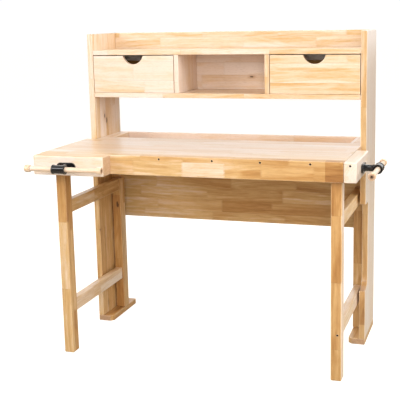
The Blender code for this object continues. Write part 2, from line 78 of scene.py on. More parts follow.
# Linear colours
STEEL_BLACK = (0.006, 0.005, 0.006, 1.0)
STEEL_WORN = (0.16, 0.15, 0.15, 1.0)
ZINC = (0.62, 0.62, 0.63, 1.0)
WOOD_TONES = (
    (0.00, (0.200, 0.080, 0.022, 1.0)),
    (0.20, (0.370, 0.170, 0.048, 1.0)),
    (0.40, (0.520, 0.285, 0.098, 1.0)),
    (0.60, (0.650, 0.420, 0.190, 1.0)),
    (0.80, (0.760, 0.585, 0.415, 1.0)),
    (1.00, (0.820, 0.695, 0.610, 1.0)),
)

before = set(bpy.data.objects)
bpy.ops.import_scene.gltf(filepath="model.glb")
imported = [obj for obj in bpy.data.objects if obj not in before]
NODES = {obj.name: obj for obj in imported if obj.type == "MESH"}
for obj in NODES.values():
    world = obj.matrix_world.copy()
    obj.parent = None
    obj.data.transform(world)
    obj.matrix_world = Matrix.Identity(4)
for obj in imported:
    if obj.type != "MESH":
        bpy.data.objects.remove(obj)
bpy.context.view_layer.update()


def local(node, place):
    """A place given in the bench's frame, in a CAD node's own coordinates."""
    return NODES[node].matrix_world.inverted() @ Vector(place)


def middle(node):
    """Centre of a CAD node's box."""
    low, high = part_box(node)
    return (low + high) / 2


# ---------------------------------------------------------------- node helpers

class Graph:
    """Adds nodes to a node tree and links them."""

    def __init__(self, tree):
        self.tree = tree

    def put(self, socket, value):
        """Set a socket's own value, or link another socket to it."""
        if isinstance(value, bpy.types.NodeSocket):
            self.tree.links.new(value, socket)
        else:
            socket.default_value = value

    def node(self, kind, inputs=None, **settings):
        """Add a node with its settings and inputs."""
        node = self.tree.nodes.new("ShaderNode" + kind)
        for key, value in settings.items():
            setattr(node, key, value)
        for key, value in (inputs or {}).items():
            self.put(node.inputs[key], value)
        return node

    def math(self, operation, first, second=0.0, clamp=False):
        """A Math node's result."""
        node = self.node("Math", {0: first, 1: second}, operation=operation, use_clamp=clamp)
        return node.outputs[0]

    def mix(self, factor, first, second, blend="MIX"):
        """A colour mix."""
        node = self.node("Mix", data_type="RGBA", blend_type=blend)
        self.put(node.inputs["Factor"], factor)
        self.put(node.inputs[6], first)
        self.put(node.inputs[7], second)
        return node.outputs[2]

    def step(self, value, low, high, start=0.0, end=1.0):
        """A smooth step from start at low to end at high."""
        inputs = {"Value": value, "From Min": low, "From Max": high, "To Min": start, "To Max": end}
        node = self.node("MapRange", inputs, interpolation_type="SMOOTHSTEP")
        return node.outputs["Result"]

    def vector(self, x, y, z):
        """A vector from three values."""
        return self.node("CombineXYZ", {0: x, 1: y, 2: z}).outputs[0]

    def stretched(self, vector, scale):
        """A vector multiplied axis by axis."""
        node = self.node("VectorMath", {0: vector, 1: scale}, operation="MULTIPLY")
        return node.outputs[0]

    def noise(self, vector, detail=2.0, roughness=0.5, distortion=0.0, scale=1.0):
        """A noise texture's value."""
        inputs = {"Vector": vector, "Scale": scale, "Detail": detail, "Roughness": roughness,
                  "Distortion": distortion}
        return self.node("TexNoise", inputs).outputs["Fac"]

    def ramp(self, value, stops):
        """A colour ramp's colour."""
        node = self.node("ValToRGB", {0: value})
        elements = node.color_ramp.elements
        for position, colour in stops[1:-1]:
            elements.new(position).color = colour
        elements[0].position, elements[0].color = stops[0]
        elements[-1].position, elements[-1].color = stops[-1]
        return node.outputs["Color"]


def group_socket(tree, name, direction, kind, value=None):
    """Add a socket to a node group."""
    socket = tree.interface.new_socket(name, in_out=direction, socket_type="NodeSocket" + kind)
    if value is not None:
        socket.default_value = value


def stave_cells(graph, inputs):
    """Rows of staves across the board, and finger joints that cut each row into staves."""
    parts = graph.node("SeparateXYZ", {0: inputs["Grain"]})
    along, across = parts.outputs[0], parts.outputs[1]
    rows = graph.math("ADD", graph.math("DIVIDE", across, inputs["Stave Width"]), inputs["Seed"])
    row = graph.math("FLOOR", rows)
    in_row = graph.math("ABSOLUTE", graph.math("SUBTRACT", graph.math("FRACT", rows), 0.5))
    row_noise = graph.node("TexWhiteNoise", {"W": row}, noise_dimensions="1D").outputs["Value"]
    teeth = graph.math("FRACT", graph.math("DIVIDE", across, FINGER_PITCH))
    zigzag = graph.math("ABSOLUTE", graph.math("SUBTRACT", teeth, 0.5))
    joint_place = graph.math("ADD", along, graph.math("MULTIPLY", zigzag, 2 * FINGER_LENGTH))
    place = graph.math("DIVIDE", joint_place, inputs["Stave Length"])
    place = graph.math("ADD", place, graph.math("MULTIPLY", row_noise, 71.0))
    place = graph.math("ADD", place, graph.math("MULTIPLY", inputs["Seed"], 13.0))
    cell = graph.node("TexVoronoi", {"W": place, "Scale": 1.0, "Randomness": 0.75},
                      voronoi_dimensions="1D", feature="F1")
    border = graph.node("TexVoronoi", {"W": place, "Scale": 1.0, "Randomness": 0.75},
                        voronoi_dimensions="1D", feature="DISTANCE_TO_EDGE")
    joint = graph.math("MULTIPLY", border.outputs["Distance"], inputs["Stave Length"])
    joint_line = graph.step(joint, 0.0001, 0.0007, 1.0, 0.0)
    seam = graph.math("MULTIPLY", graph.math("SUBTRACT", 0.5, in_row), inputs["Stave Width"])
    seam_line = graph.step(seam, 0.0001, 0.0006, 1.0, 0.0)
    return cell.outputs["Color"], graph.math("MAXIMUM", joint_line, seam_line)


def stave_tone(graph, inputs, random, own, streak, figure):
    """A stave's own tone, changed along it by streaks, mottle, figure and growth rings."""
    mottle = graph.noise(graph.stretched(own, (24.0, 170.0, 170.0)), 3.0, 0.6)
    rings = graph.math("SINE", graph.math("MULTIPLY", figure, 46.0))
    tone = graph.math("MULTIPLY", graph.math("SUBTRACT", random, 0.5), inputs["Contrast"])
    tone = graph.math("ADD", tone, inputs["Tone"])
    strength = graph.math("ADD", graph.math("MULTIPLY", inputs["Contrast"], 1.5), 0.35)
    for value, weight in ((streak, 1.0), (mottle, 0.55), (figure, 0.9)):
        change = graph.math("MULTIPLY", graph.math("SUBTRACT", value, 0.5), weight)
        tone = graph.math("ADD", tone, graph.math("MULTIPLY", change, strength))
    return graph.math("ADD", tone, graph.math("MULTIPLY", rings, 0.045), clamp=True)


def scatter_knots(graph, inputs, own, colour):
    """Add small dark knots, few and at random."""
    place = graph.stretched(own, (5.5, 11.0, 11.0))
    knot = graph.node("TexVoronoi", {"Vector": place, "Scale": 1.0}, feature="F1")
    near = graph.step(knot.outputs["Distance"], 0.06, 0.17, 1.0, 0.0)
    chosen = graph.node("SeparateColor", {0: knot.outputs["Color"]}).outputs[2]
    shown = graph.math("MULTIPLY", near, graph.step(chosen, 0.80, 0.82))
    knots = graph.math("MULTIPLY", shown, inputs["Knots"])
    return graph.mix(knots, colour, (0.20, 0.09, 0.035, 1.0))


def add_end_grain(graph, own, end, colour):
    """Add the darker speckle of wood cut across its grain."""
    speckle = graph.noise(graph.stretched(own, (60.0, 420.0, 420.0)), 3.0, 0.7)
    end_colour = graph.mix(graph.step(speckle, 0.3, 0.7), (0.34, 0.19, 0.11, 1.0),
                           (0.58, 0.38, 0.25, 1.0))
    return graph.mix(graph.math("MULTIPLY", end, 0.80), colour, end_colour)


def make_wood_group():
    """Node group for lacquered rubberwood glued up from finger-jointed staves."""
    tree = bpy.data.node_groups.new("finger_jointed_wood", "ShaderNodeTree")
    group_socket(tree, "Grain", "INPUT", "Vector")
    for name, value in (("End", 0.0), ("Stave Width", 0.05), ("Stave Length", 0.3), ("Seed", 0.0),
                        ("Tone", 0.55), ("Contrast", 0.6), ("Knots", 0.0), ("Edge", 0.0)):
        group_socket(tree, name, "INPUT", "Float", value)
    group_socket(tree, "Color", "OUTPUT", "Color")
    group_socket(tree, "Roughness", "OUTPUT", "Float")
    group_socket(tree, "Height", "OUTPUT", "Float")
    graph = Graph(tree)
    inputs = tree.nodes.new("NodeGroupInput").outputs
    cell, lines = stave_cells(graph, inputs)
    random = graph.node("SeparateColor", {0: cell}).outputs
    shift = graph.stretched(cell, (31.0, 17.0, 23.0))
    own = graph.node("VectorMath", {0: inputs["Grain"], 1: shift}, operation="ADD").outputs[0]
    streak = graph.noise(graph.stretched(own, (2.4, 70.0, 70.0)), 5.0, 0.62)
    figure = graph.noise(graph.stretched(own, (1.6, 13.0, 13.0)), 2.0, 0.5, 1.1)
    pores = graph.step(graph.noise(graph.stretched(own, (70.0, 900.0, 900.0)), 1.0), 0.60, 0.70)
    end = graph.step(inputs["End"], 0.70, 0.95)

    colour = graph.ramp(stave_tone(graph, inputs, random[0], own, streak, figure), WOOD_TONES)
    warm = graph.math("MULTIPLY", random[1], 0.30)
    colour = graph.mix(warm, colour, (0.93, 0.70, 0.46, 1.0), "MULTIPLY")
    colour = graph.mix(graph.math("MULTIPLY", pores, 0.26), colour, (0.34, 0.20, 0.10, 1.0))
    colour = graph.mix(graph.math("MULTIPLY", lines, 0.42), colour, (0.30, 0.16, 0.06, 1.0))
    colour = scatter_knots(graph, inputs, own, colour)
    colour = add_end_grain(graph, own, end, colour)
    # Painted highlight: the edges are lightened partly as wear and partly for light caught on them.
    worn_and_highlit = graph.math("MULTIPLY", inputs["Edge"], 0.38)
    colour = graph.mix(worn_and_highlit, colour, (0.92, 0.80, 0.62, 1.0))

    rough = graph.math("ADD", graph.math("MULTIPLY", streak, 0.18), 0.30)
    rough = graph.math("ADD", rough, graph.math("MULTIPLY", end, 0.14))
    rough = graph.math("ADD", rough, graph.math("MULTIPLY", pores, 0.12))
    height = graph.math("MULTIPLY", graph.math("SUBTRACT", streak, pores), 0.5)
    height = graph.math("SUBTRACT", height, lines)
    result = tree.nodes.new("NodeGroupOutput").inputs
    graph.put(result["Color"], colour)
    graph.put(result["Roughness"], rough)
    graph.put(result["Height"], height)
    return tree


WOOD = make_wood_group()


def new_material(name):
    """A new material, the graph to build it with, and its shader."""
    material = bpy.data.materials.new(name)
    material.use_nodes = True
    tree = material.node_tree
    return material, Graph(tree), tree.nodes["Principled BSDF"]


def edge_mask(graph, radius, sharpness=5.0):
    """1 along the edges of a piece, 0 on its flat faces."""
    rounded = graph.node("Bevel", {"Radius": radius}, samples=4).outputs["Normal"]
    flat = graph.node("NewGeometry").outputs["Normal"]
    match = graph.node("VectorMath", {0: rounded, 1: flat}, operation="DOT_PRODUCT").outputs["Value"]
    return graph.math("MULTIPLY", graph.math("SUBTRACT", 1.0, match), sharpness, clamp=True)


def knot_mark(graph, place, colour, spot, radius, along):
    """Add a knot, long with the grain, in a halo of darker wood."""
    wander = graph.noise(graph.stretched(place, (90.0, 90.0, 90.0)), 2.0)
    offset = graph.node("VectorMath", {0: place, 1: spot}, operation="SUBTRACT").outputs[0]
    shape = graph.stretched(offset, [0.45 if axis == along else 1.0 for axis in "XYZ"])
    reach = graph.node("VectorMath", {0: shape}, operation="LENGTH").outputs["Value"]
    reach = graph.math("ADD", reach, graph.math("MULTIPLY", graph.math("SUBTRACT", wander, 0.5), radius))
    halo = graph.step(reach, radius * 0.7, radius * 3.2, 0.40, 0.0)
    core = graph.step(reach, radius * 0.55, radius * 1.0, 0.88, 0.0)
    colour = graph.mix(halo, colour, (0.42, 0.20, 0.07, 1.0))
    return graph.mix(core, colour, (0.055, 0.022, 0.010, 1.0))


def wood(name, axes, width=0.05, length=0.3, seed=0.0, tone=0.55, contrast=0.6, knots=0.0,
         coat=0.45, edge=0.0035, narrow_face_shading=0.0, fades=(), marks=(), coat_ior=1.5, ends=1.0):
    """Wood of a board, given its axes along the grain, across the staves and through it.

    width and length are a stave's, in metres, and seed picks the pattern. tone runs from 0 for
    dark to 1 for pale wood, and contrast is how far the staves differ. knots is how strongly the
    random knots show, coat is the lacquer's weight, and edge is the radius of the edges that are
    lightened, both as wear and as a painted highlight.
    The narrow-face tone, given after edge, is what a board's narrow faces add to its tone: painted light
    where it is above 0 and painted shade where it is below. Each fade is an axis, the two places
    between which the tone changes, and the change. Each mark is the place and radius of a knot.
    ends is 1 for darker end grain and 0 for none.
    """
    material, graph, shader = new_material("wood_" + name)
    place = graph.node("TexCoord")
    parts = graph.node("SeparateXYZ", {0: place.outputs["Object"]}).outputs
    normal = graph.node("SeparateXYZ", {0: place.outputs["Normal"]}).outputs
    order = ["XYZ".index(axis) for axis in axes]
    grain = graph.vector(*[parts[index] for index in order])
    end = graph.math("MULTIPLY", graph.math("ABSOLUTE", normal[order[0]]), ends)
    # Painted light and shade: the narrow-face tone lightens a board's narrow faces where it is above 0
    # and darkens them where it is below.
    if narrow_face_shading:
        edge_on = graph.math("SUBTRACT", 1.0, graph.math("ABSOLUTE", normal[order[2]]))
        tone = graph.math("ADD", graph.math("MULTIPLY", edge_on, narrow_face_shading), tone)
    for axis, start, stop, change in fades:
        part = graph.step(parts["XYZ".index(axis)], start, stop, 0.0, change)
        tone = graph.math("ADD", part, tone)
    group = graph.node("Group", node_tree=WOOD)
    values = {"Grain": grain, "End": end, "Stave Width": width, "Stave Length": length,
              "Seed": seed, "Tone": tone, "Contrast": contrast, "Knots": knots,
              "Edge": edge_mask(graph, edge)}
    for key, value in values.items():
        graph.put(group.inputs[key], value)
    bump = graph.node("Bump", {"Strength": 0.35, "Distance": 0.0004, "Height": group.outputs["Height"]})
    colour = group.outputs["Color"]
    for spot, radius in marks:
        colour = knot_mark(graph, place.outputs["Object"], colour, spot, radius, axes[0])
    graph.put(shader.inputs["Base Color"], colour)
    graph.put(shader.inputs["Roughness"], group.outputs["Roughness"])
    graph.put(shader.inputs["Normal"], bump.outputs["Normal"])
    shader.inputs["Coat Weight"].default_value = coat
    shader.inputs["Coat IOR"].default_value = coat_ior
    shader.inputs["Coat Roughness"].default_value = 0.28
    return material


def black_steel():
    """Black enamel on steel, rubbed a little along its edges."""
    material, graph, shader = new_material("black_enamelled_steel")
    place = graph.node("TexCoord").outputs["Object"]
    smudge = graph.noise(graph.stretched(place, (60.0, 60.0, 60.0)), 4.0, 0.6)
    peel = graph.noise(graph.stretched(place, (900.0, 900.0, 900.0)), 1.0)
    worn = graph.math("MULTIPLY", edge_mask(graph, 0.0012, 3.0), graph.step(smudge, 0.42, 0.66))
    graph.put(shader.inputs["Base Color"], graph.mix(worn, STEEL_BLACK, STEEL_WORN))
    graph.put(shader.inputs["Metallic"], graph.math("MULTIPLY", worn, 0.8))
    graph.put(shader.inputs["Roughness"], graph.step(smudge, 0.25, 0.75, 0.16, 0.30))
    bump = graph.node("Bump", {"Strength": 0.12, "Distance": 0.0002, "Height": peel})
    graph.put(shader.inputs["Normal"], bump.outputs["Normal"])
    shader.inputs["Specular IOR Level"].default_value = 0.20
    shader.inputs["Coat Weight"].default_value = 0.90
    shader.inputs["Coat Roughness"].default_value = 0.11
    return material


def bright_steel(name, stretch):
    """Zinc-plated steel with fine drawn lines."""
    material, graph, shader = new_material("bright_steel_" + name)
    place = graph.node("TexCoord").outputs["Object"]
    lines = graph.noise(graph.stretched(place, stretch), 3.0, 0.6)
    cloud = graph.noise(graph.stretched(place, (45.0, 45.0, 45.0)), 3.0, 0.5)
    tint = graph.mix(graph.step(cloud, 0.3, 0.7, 0.0, 0.5), ZINC, (0.50, 0.50, 0.49, 1.0))
    graph.put(shader.inputs["Base Color"], tint)
    graph.put(shader.inputs["Roughness"], graph.step(lines, 0.2, 0.8, 0.22, 0.42))
    bump = graph.node("Bump", {"Strength": 0.10, "Distance": 0.0001, "Height": lines})
    graph.put(shader.inputs["Normal"], bump.outputs["Normal"])
    shader.inputs["Metallic"].default_value = 1.0
    return material


BLACK = black_steel()
BRIGHT_ROD_X = bright_steel("along_x", (20.0, 1500.0, 1500.0))
BRIGHT_ROD_Y = bright_steel("along_y", (1500.0, 20.0, 1500.0))
BRIGHT_LEAF = bright_steel("along_z", (1500.0, 1500.0, 20.0))


def paint(node, material):
    """Give a CAD node its finished material."""
    for slot in NODES[node].material_slots:
        slot.material = material


def paint_carcass():
    """Wood of the side panels, shelves and boards."""
    # The left panel's tone rises up its height as painted light that falls off towards the floor, and its
    # paler narrow faces are painted light on its front edge.
    paint("side_panel_left", wood("panel_left", "ZYX", 0.044, 0.30, 3.3, 0.50, 0.24, knots=0.9,
                                  coat=0.2, narrow_face_shading=0.10, fades=[("Z", 0.60, 0.75, 0.36)],
                                  marks=[((-0.5139, 0.200, 0.7680), 0.0046),
                                         ((-0.5139, 0.216, 0.7480), 0.0052),
                                         ((-0.5139, 0.119, 0.3505), 0.0045)]))
    # The right panel's pale tone is a painted reflection of the white surroundings on its outer face. Its
    # darker narrow faces are painted shade on its front edge, and its slightly paler upper part is
    # painted light.
    paint("side_panel_right", wood("panel_right", "ZYX", 0.044, 0.30, 8.1, 0.96, 0.12, knots=0.4,
                                   coat=1.0, narrow_face_shading=-0.50, fades=[("Z", 0.60, 0.75, 0.08)],
                                   coat_ior=1.9))
    paint("foot_board_left", wood("foot_left", "YXZ", 0.06, 0.4, 1.7, 0.42, 0.2))
    paint("foot_board_right", wood("foot_right", "YXZ", 0.06, 0.4, 2.9, 0.50, 0.2))
    # The shelf's paler narrow faces are painted light on its front edge.
    paint("hutch_top_shelf", wood("top_shelf", "XYZ", 0.05, 0.34, 4.2, 0.74, 0.20, coat=0.2,
                                  narrow_face_shading=0.10))
    paint("hutch_bottom_shelf", wood("bottom_shelf", "XYZ", 0.05, 0.34, 6.4, 0.84, 0.20))
    # The back board's pale tone is painted light in the cubby between the drawers; above a height of
    # about 1.0 m it is 0.24 darker.
    paint("hutch_back_board", wood("hutch_back", "XZY", 0.046, 0.28, 5.2, 1.02, 0.20, knots=0.8,
                                   fades=[("Z", 1.000, 1.006, -0.24)],
                                   marks=[((0.0202, 0.3186, 0.9044), 0.0036)]))
    # The dividers' tones are painted light and shade on the cubby's walls: the left divider is paler than
    # the right.
    paint("hutch_divider_left", wood("divider_left", "ZYX", 0.05, 0.3, 7.7, 0.98, 0.20))
    paint("hutch_divider_right", wood("divider_right", "ZYX", 0.05, 0.3, 9.9, 0.72, 0.20))
    # The board is 0.44 paler above a height of about 0.63 m: painted light on the tray's back wall and
    # painted shade on the part under the bench top.
    paint("rear_board", wood("rear_board", "XZY", 0.045, 0.26, 2.2, 0.61, 0.17, knots=0.4, coat=0.1,
                             fades=[("Z", 0.628, 0.634, 0.44), ("X", -0.36, -0.10, -0.17),
                                    ("X", 0.10, 0.40, 0.06)]))


def paint_bench_top():
    """Wood of the bench top and tool tray."""
    paint("bench_slab", wood("slab", "XYZ", 0.042, 0.32, 1.3, 0.79, 0.20, coat=0.60,
                             fades=[("X", -0.50, -0.30, 0.12)]))
    paint("front_beam", wood("front_beam", "XZY", 0.062, 0.15, 0.10, 0.66, 0.20, coat=0.25,
                             fades=[("X", 0.393, 0.395, -0.20), ("X", 0.05, 0.30, -0.18)]))
    paint("end_beam_left", wood("end_beam_left", "YXZ", 0.06, 0.3, 3.9, 0.60, 0.3))
    paint("end_beam_right", wood("end_beam_right", "YXZ", 0.06, 0.3, 4.9, 0.46, 0.3))
    paint("rear_beam", wood("rear_beam", "XZY", 0.06, 0.3, 5.9, 0.56, 0.3))
    paint("tray_front_rail", wood("tray_rail", "XYZ", 0.06, 0.34, 6.1, 0.86, 0.2, coat=0.6))
    paint("tray_ledge_left", wood("ledge_left", "YXZ", 0.06, 0.3, 1.1, 0.82, 0.2, coat=0.5))
    paint("tray_ledge_right", wood("ledge_right", "YXZ", 0.06, 0.3, 2.1, 0.82, 0.2, coat=0.5))
    paint("tray_floor", wood("tray_floor", "XYZ", 0.30, 1.4, 7.3, 0.66, 0.2))
    # The jaw's darker narrow faces are painted shade, seen most on its end face.
    paint("front_vise_jaw", wood("front_jaw", "XZY", 0.09, 0.9, 8.2, 0.94, 0.06, coat=0.3,
                                 narrow_face_shading=-0.30))
    paint("end_vise_jaw", wood("end_jaw", "YZX", 0.09, 0.9, 3.2, 0.92, 0.06, coat=0.6, ends=0.35))


def paint_gates():
    """Wood and steel of the swinging leg frames."""
    post_knot = (local("gate_left_post", (-0.4894, 0.2272, 0.4250)), 0.0065)
    # Each leg's tone and narrow-face tone are painted light and shade: the left leg's front is paler than
    # its sides, the right leg's front darker than its sides.
    for side, seed, tone, narrow_face_shading, marks in (("left", 1.9, 0.42, 0.16, [post_knot]),
                                         ("right", 5.6, 0.82, -0.44, [])):
        name = "gate_" + side
        paint(name + "_leg", wood(name + "_leg", "ZYX", 0.021, 0.24, seed, tone, 0.20, knots=0.3,
                                  narrow_face_shading=narrow_face_shading))
        paint(name + "_post", wood(name + "_post", "ZYX", 0.021, 0.24, seed + 1.1, 0.48, 0.2,
                                   knots=0.9, marks=marks))
        # The upper rail's darker tone is painted shade under the bench top.
        for offset, rail, shade in ((0.4, "_upper_rail", 0.54), (0.8, "_lower_rail", 0.86)):
            paint(name + rail, wood(name + rail, "YZX", 0.05, 0.30, seed + offset, shade, 0.24))
        paint(f"hinge_{side}_panel_leaf", BRIGHT_LEAF)
        paint(f"hinge_{side}_gate_leaf", BRIGHT_LEAF)


def bare_wood(name, axes, width, seed, tone):
    """Unvarnished wood for the inside of a drawer."""
    material = wood(name, axes, width, 0.8, seed, tone, 0.15, coat=0.0)
    shader = material.node_tree.nodes["Principled BSDF"]
    shader.inputs["Specular IOR Level"].default_value = 0.08
    return material


def paint_drawers():
    """Wood of the drawers."""
    for side, seed, tone in (("left", 5.3, 0.94), ("right", 7.4, 0.78)):
        name = "drawer_" + side
        paint(name + "_front", wood(name + "_front", "XZY", 0.066, 0.42, seed, tone, 0.12))
        # The inside of each drawer takes dark tones, its back darkest, as painted shade inside the box.
        paint(name + "_side_outer", bare_wood(name + "_outer", "YZX", 0.07, seed + 0.3, 0.40))
        paint(name + "_side_inner", bare_wood(name + "_inner", "YZX", 0.07, seed + 0.6, 0.40))
        paint(name + "_back", bare_wood(name + "_back", "XZY", 0.07, seed + 0.9, 0.26))
        paint(name + "_bottom", bare_wood(name + "_bottom", "XYZ", 0.40, seed + 1.2, 0.40))


def knob_wood(name, axes, node):
    """Turned wood of a knob, with a dark ring round the screw in its end."""
    material = wood(name, axes, 0.2, 1.7, 4.3, 0.84, 0.1, coat=0.5)
    graph = Graph(material.node_tree)
    shader = material.node_tree.nodes["Principled BSDF"]
    centre = local(node, middle(node))
    across = [0.0 if axis == axes[0] else 1.0 for axis in "XYZ"]
    place = graph.node("TexCoord").outputs["Object"]
    offset = graph.node("VectorMath", {0: place, 1: centre}, operation="SUBTRACT").outputs[0]
    flat = graph.stretched(offset, across)
    reach = graph.node("VectorMath", {0: flat}, operation="LENGTH").outputs["Value"]
    dark_ring = graph.math("MULTIPLY", graph.step(reach, 0.0050, 0.0072, 1.0, 0.0), 0.8)
    colour = material.node_tree.nodes["Group"].outputs["Color"]
    graph.put(shader.inputs["Base Color"], graph.mix(dark_ring, colour, (0.13, 0.055, 0.020, 1.0)))
    return material


def paint_vises():
    """Steel and turned wood of the vises."""
    for vise, handle_axes, rod_steel in (("front_vise", "XYZ", BRIGHT_ROD_Y),
                                         ("end_vise", "YZX", BRIGHT_ROD_X)):
        paint(vise + "_flange", BLACK)
        paint(vise + "_nut_plate", BLACK)
        paint(vise + "_guide_rod_a", rod_steel)
        paint(vise + "_guide_rod_b", rod_steel)
        bar_wood = wood(vise + "_handle", handle_axes, 0.2, 1.7, 0.3, 0.86, 0.1, coat=0.5)
        paint(vise + "_handle_bar", bar_wood)
        for label in ("a", "b"):
            node = f"{vise}_handle_knob_{label}"
            paint(node, knob_wood(f"{vise}_knob_{label}", handle_axes, node))


# ---------------------------------------------------------------- detail pieces

def facing(direction):
    """Rotation that turns +Z to a direction."""
    return Vector(direction).to_track_quat("Z", "Y").to_matrix().to_4x4()


def skin(shape, loops):
    """Faces between each loop of vertices and the next one, in a bmesh."""
    for lower, upper in zip(loops, loops[1:]):
        sides = len(lower)
        for side in range(sides):
            after = (side + 1) % sides
            shape.faces.new((lower[side], lower[after], upper[after], upper[side]))


def screw_mesh(name, radius, height, body=0.0):
    """Domed screw head with a cross recess, on a body of a height and a short stub of shank."""
    mesh = bpy.data.meshes.new(name)
    shape = bmesh.new()
    sides, arms, rings = 32, 4, 5
    recess = height * 0.55
    levels = [(radius * 0.45, -height), (radius * 0.45, 0.0), (radius, 0.0),
              (radius, body + height * 0.2)]
    for step in range(1, rings + 1):
        angle = math.pi / 2 * step / (rings + 1)
        levels.append((radius * math.cos(angle), body + height * (0.2 + 0.8 * math.sin(angle))))
    loops = []
    for reach, level in levels:
        loop = []
        for side in range(sides):
            turn = 2 * math.pi * side / sides
            in_arm = side % (sides // arms) in (0, 1, sides // arms - 1)
            sunk = recess if in_arm and level > body + recess else 0.0
            loop.append(shape.verts.new((reach * math.cos(turn), reach * math.sin(turn), level - sunk)))
        loops.append(loop)
    skin(shape, loops)
    shape.faces.new(list(reversed(loops[0])))
    pit = shape.verts.new((0, 0, body + height * 0.35))
    for side in range(sides):
        shape.faces.new((loops[-1][side], loops[-1][(side + 1) % sides], pit))
    bmesh.ops.recalc_face_normals(shape, faces=shape.faces)
    shape.to_mesh(mesh)
    shape.free()
    mesh.shade_smooth()
    mesh.set_sharp_from_angle(angle=math.radians(40))
    return mesh


def add_piece(name, mesh, material, body, matrix=None):
    """Show a mesh as a piece that rides on a body."""
    obj = bpy.data.objects.new(name, mesh)
    bpy.context.scene.collection.objects.link(obj)
    if not mesh.materials:
        mesh.materials.append(material)
    if matrix is not None:
        obj.matrix_world = matrix
    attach(obj, body)
    return obj


SUNK_SCREW = screw_mesh("sunk_screw", 0.0033, 0.0014, 0.0058)
KNOB_SCREW = screw_mesh("knob_screw", 0.0026, 0.0012)
FLANGE_SCREW = screw_mesh("flange_screw", 0.0042, 0.0024)
LEAF_SCREW = screw_mesh("leaf_screw", 0.0034, 0.0009)


def add_screw(name, mesh, place, direction, body, material=BLACK):
    """Seat a screw on a face, with its head towards a direction."""
    matrix = Matrix.Translation(Vector(place)) @ facing(direction)
    add_piece(name, mesh, material, body, matrix)


def hole_screws():
    """Screws at the bottom of the sunk holes in the front beam, end jaw and right leg."""
    depth = SUNK_HOLE_DEPTH + SEAT
    beam_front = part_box("front_beam")[0].y
    leg_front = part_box("gate_right_leg")[0].y
    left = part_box("side_panel_left")[0].x
    for index, offset in enumerate(BEAM_HOLES):
        place = (left + offset, beam_front + depth, BEAM_HOLE_HEIGHT)
        add_screw(f"beam_screw_{index + 1}", SUNK_SCREW, place, (0, -1, 0), "carcass")
    place = (left + JAW_HOLE[0], beam_front + depth, JAW_HOLE[1])
    add_screw("end_jaw_screw", SUNK_SCREW, place, (0, -1, 0), "end_jaw")
    place = (left + LEG_HOLE[0], leg_front + depth, LEG_HOLE[1])
    add_screw("gate_right_leg_screw", SUNK_SCREW, place, (0, -1, 0), "gate_right")


def knob_screws():
    """Screws that hold the knobs on the handle bars."""
    for vise, axis in (("front", 0), ("end", 1)):
        for label, sign in (("a", -1), ("b", 1)):
            node = f"{vise}_vise_handle_knob_{label}"
            low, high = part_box(node)
            place = (low + high) / 2
            outer = high[axis] if sign > 0 else low[axis]
            place[axis] = outer - sign * (KNOB_HOLE_DEPTH + SEAT / 2)
            direction = [0, 0, 0]
            direction[axis] = sign
            add_screw(f"{vise}_knob_{label}_screw", KNOB_SCREW, place, direction, vise + "_handle")


def flange_screws():
    """Two screws through each vise's flange, and two through its nut plate."""
    for vise, axis, across in (("front", 1, 0), ("end", 0, 1)):
        sign = -1 if vise == "front" else 1
        flange, nut_plate = f"{vise}_vise_flange", f"{vise}_vise_nut_plate"
        for node, reach, body, out in ((flange, FLANGE_SCREW_REACH, vise + "_jaw", sign),
                                       (nut_plate, NUT_SCREW_REACH, "carcass", -sign)):
            low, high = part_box(node)
            place = (low + high) / 2
            if node == nut_plate:
                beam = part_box("front_beam")[1].y if vise == "front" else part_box("end_beam_right")[0].x
                place[axis] = beam - sign * BOARD_GAP - sign * NUT_PLATE
            else:
                place[axis] = high[axis] if out > 0 else low[axis]
            direction = [0, 0, 0]
            direction[axis] = out
            for label, offset in (("a", -reach), ("b", reach)):
                spot = place.copy()
                spot[across] += offset
                add_screw(f"{node}_screw_{label}", FLANGE_SCREW, spot, direction, body)


def hinge_screws():
    """Countersunk screws in the hinge leaves."""
    for side in ("left", "right"):
        inward = 1 if side == "left" else -1
        for leaf, body in (("panel_leaf", "carcass"), ("gate_leaf", "gate_" + side)):
            low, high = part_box(f"hinge_{side}_{leaf}")
            for index in range(LEAF_SCREWS):
                height = low.z + (high.z - low.z) * (index + 0.5) / LEAF_SCREWS
                if leaf == "panel_leaf":
                    panel_low, panel_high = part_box("side_panel_" + side)
                    inner = panel_high.x if side == "left" else panel_low.x
                    place = (inner + inward * (BOARD_GAP + LEAF), high.y - LEAF_SCREW_INSET, height)
                    direction = (inward, 0, 0)
                else:
                    post_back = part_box(f"gate_{side}_post")[1].y
                    free_edge = high.x if side == "left" else low.x
                    place = (free_edge - inward * LEAF_SCREW_INSET, post_back + BOARD_GAP + LEAF, height)
                    direction = (0, 1, 0)
                add_screw(f"hinge_{side}_{leaf}_screw_{index + 1}", LEAF_SCREW, place, direction,
                          body, BRIGHT_LEAF)


def thread_outline(phase):
    """Share of the thread's full height at a phase of its pitch, for a trapezoid thread."""
    crest, flank = 0.30, 0.15
    phase %= 1.0
    if phase < crest:
        return 1.0
    if phase < crest + flank:
        return 1.0 - (phase - crest) / flank
    if phase < 1.0 - flank:
        return 0.0
    return (phase - 1.0 + flank) / flank


def ring(shape, radius_at, level):
    """A loop of vertices round the Z axis at a level."""
    loop = []
    for side in range(THREAD_SIDES):
        turn = 2 * math.pi * side / THREAD_SIDES
        radius = radius_at(turn)
        loop.append(shape.verts.new((radius * math.cos(turn), radius * math.sin(turn), level)))
    return loop


